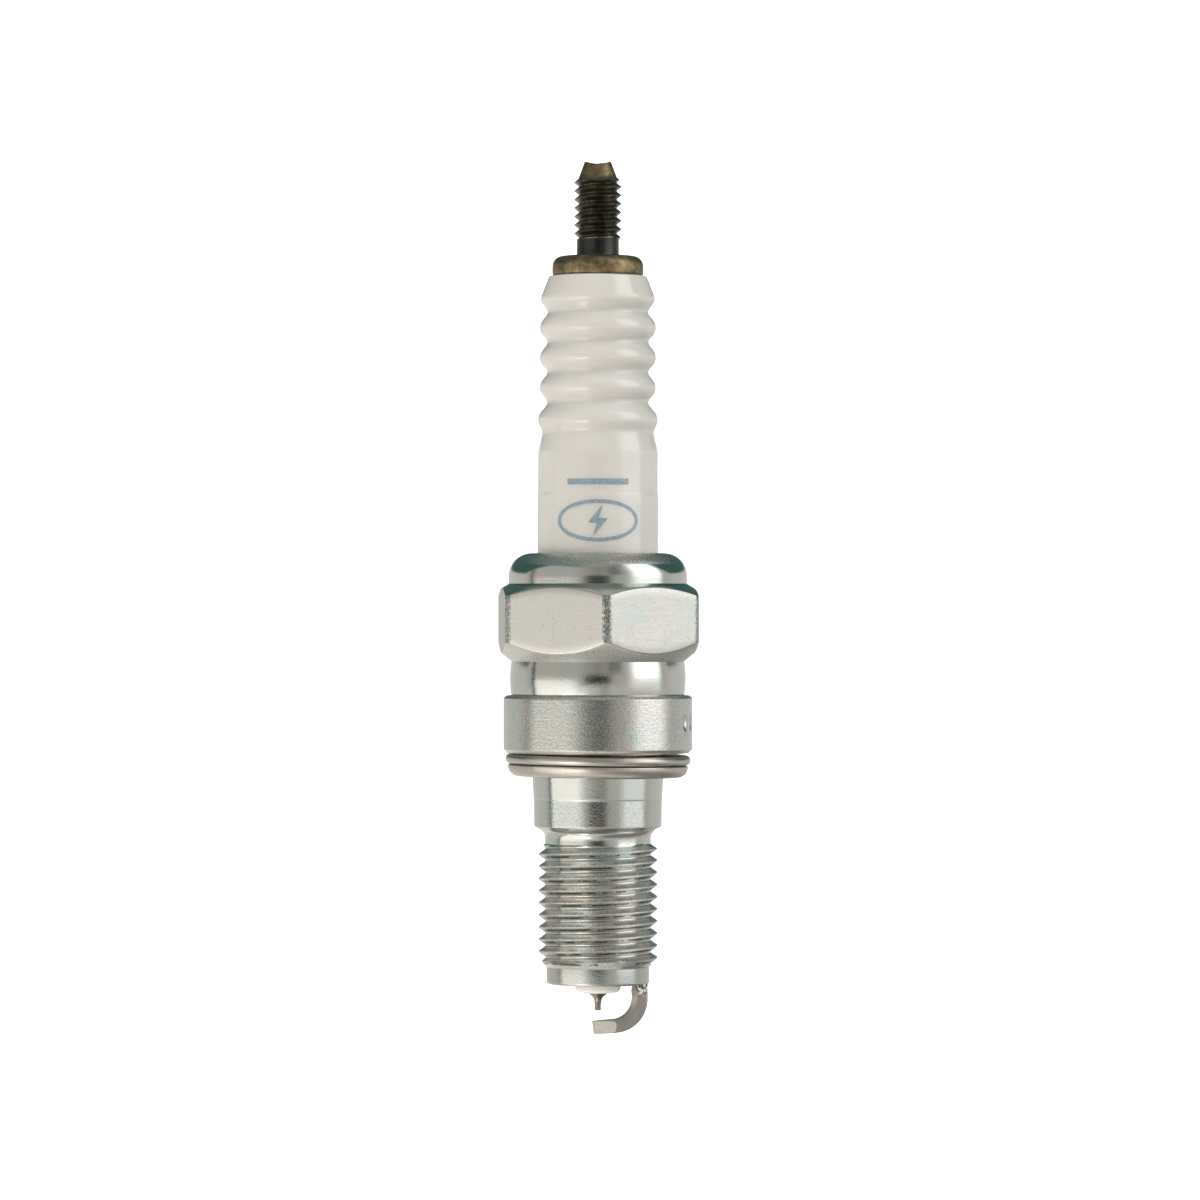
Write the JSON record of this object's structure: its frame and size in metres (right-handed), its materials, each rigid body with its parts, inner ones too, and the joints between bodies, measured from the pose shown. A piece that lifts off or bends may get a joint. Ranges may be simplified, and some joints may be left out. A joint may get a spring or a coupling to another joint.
{
  "type": "spark plug",
  "caption": "Motorcycle spark plug: ribbed ceramic insulator with a threaded terminal, crimped hexagon shell with a loose folded gasket, threaded nose, fine-wire tip and bent ground electrode.",
  "frame": {"origin": "centre of the gasket's sealing face, on the plug's axis", "axes": "+Z along the plug's axis towards the terminal; the ground electrode's root lies 10 degrees from +X towards +Y, and a corner of the hexagon lies 4.8 degrees from -Y towards +X"},
  "size_m": [0.0166, 0.018, 0.0719],
  "materials": {
    "stainless_strip": "satin rolled stainless strip",
    "zinc_plated_steel": "satin zinc plating with a faint blue-green tint",
    "glazed_alumina": "glossy clear glaze over white alumina",
    "oxidised_steel": "dark bronze-brown oxide",
    "packing_steel": "plain soft steel",
    "pressed_talc": "matt pressed powder",
    "conductive_glass": "fired glass with copper powder",
    "resistor_mass": "fired glass with carbon",
    "nickel_alloy": "satin nickel alloy",
    "copper": "plain copper",
    "iridium": "drawn iridium wire"
  },
  "bodies": {
    "plug": {"shell": "zinc_plated_steel", "insulator": "glazed_alumina", "terminal_stud": "oxidised_steel", "upper_packing_ring": "packing_steel", "lower_packing_ring": "packing_steel", "talc_filling": "pressed_talc", "seat_packing": "packing_steel", "upper_glass_seal": "conductive_glass", "resistor": "resistor_mass", "lower_glass_seal": "conductive_glass", "centre_electrode": "nickel_alloy", "centre_electrode_core": "copper", "iridium_tip": "iridium", "tip_weld": "iridium", "ground_electrode": "nickel_alloy", "ground_electrode_weld": "nickel_alloy"},
    "gasket": {"gasket": "stainless_strip"}
  },
  "joints": [
    {"name": "gasket_spin", "type": "hinge", "parent": "plug", "child": "gasket", "pos_m": [0, 0, 0], "axis": [0, 0, 1], "continuous": true}
  ]
}
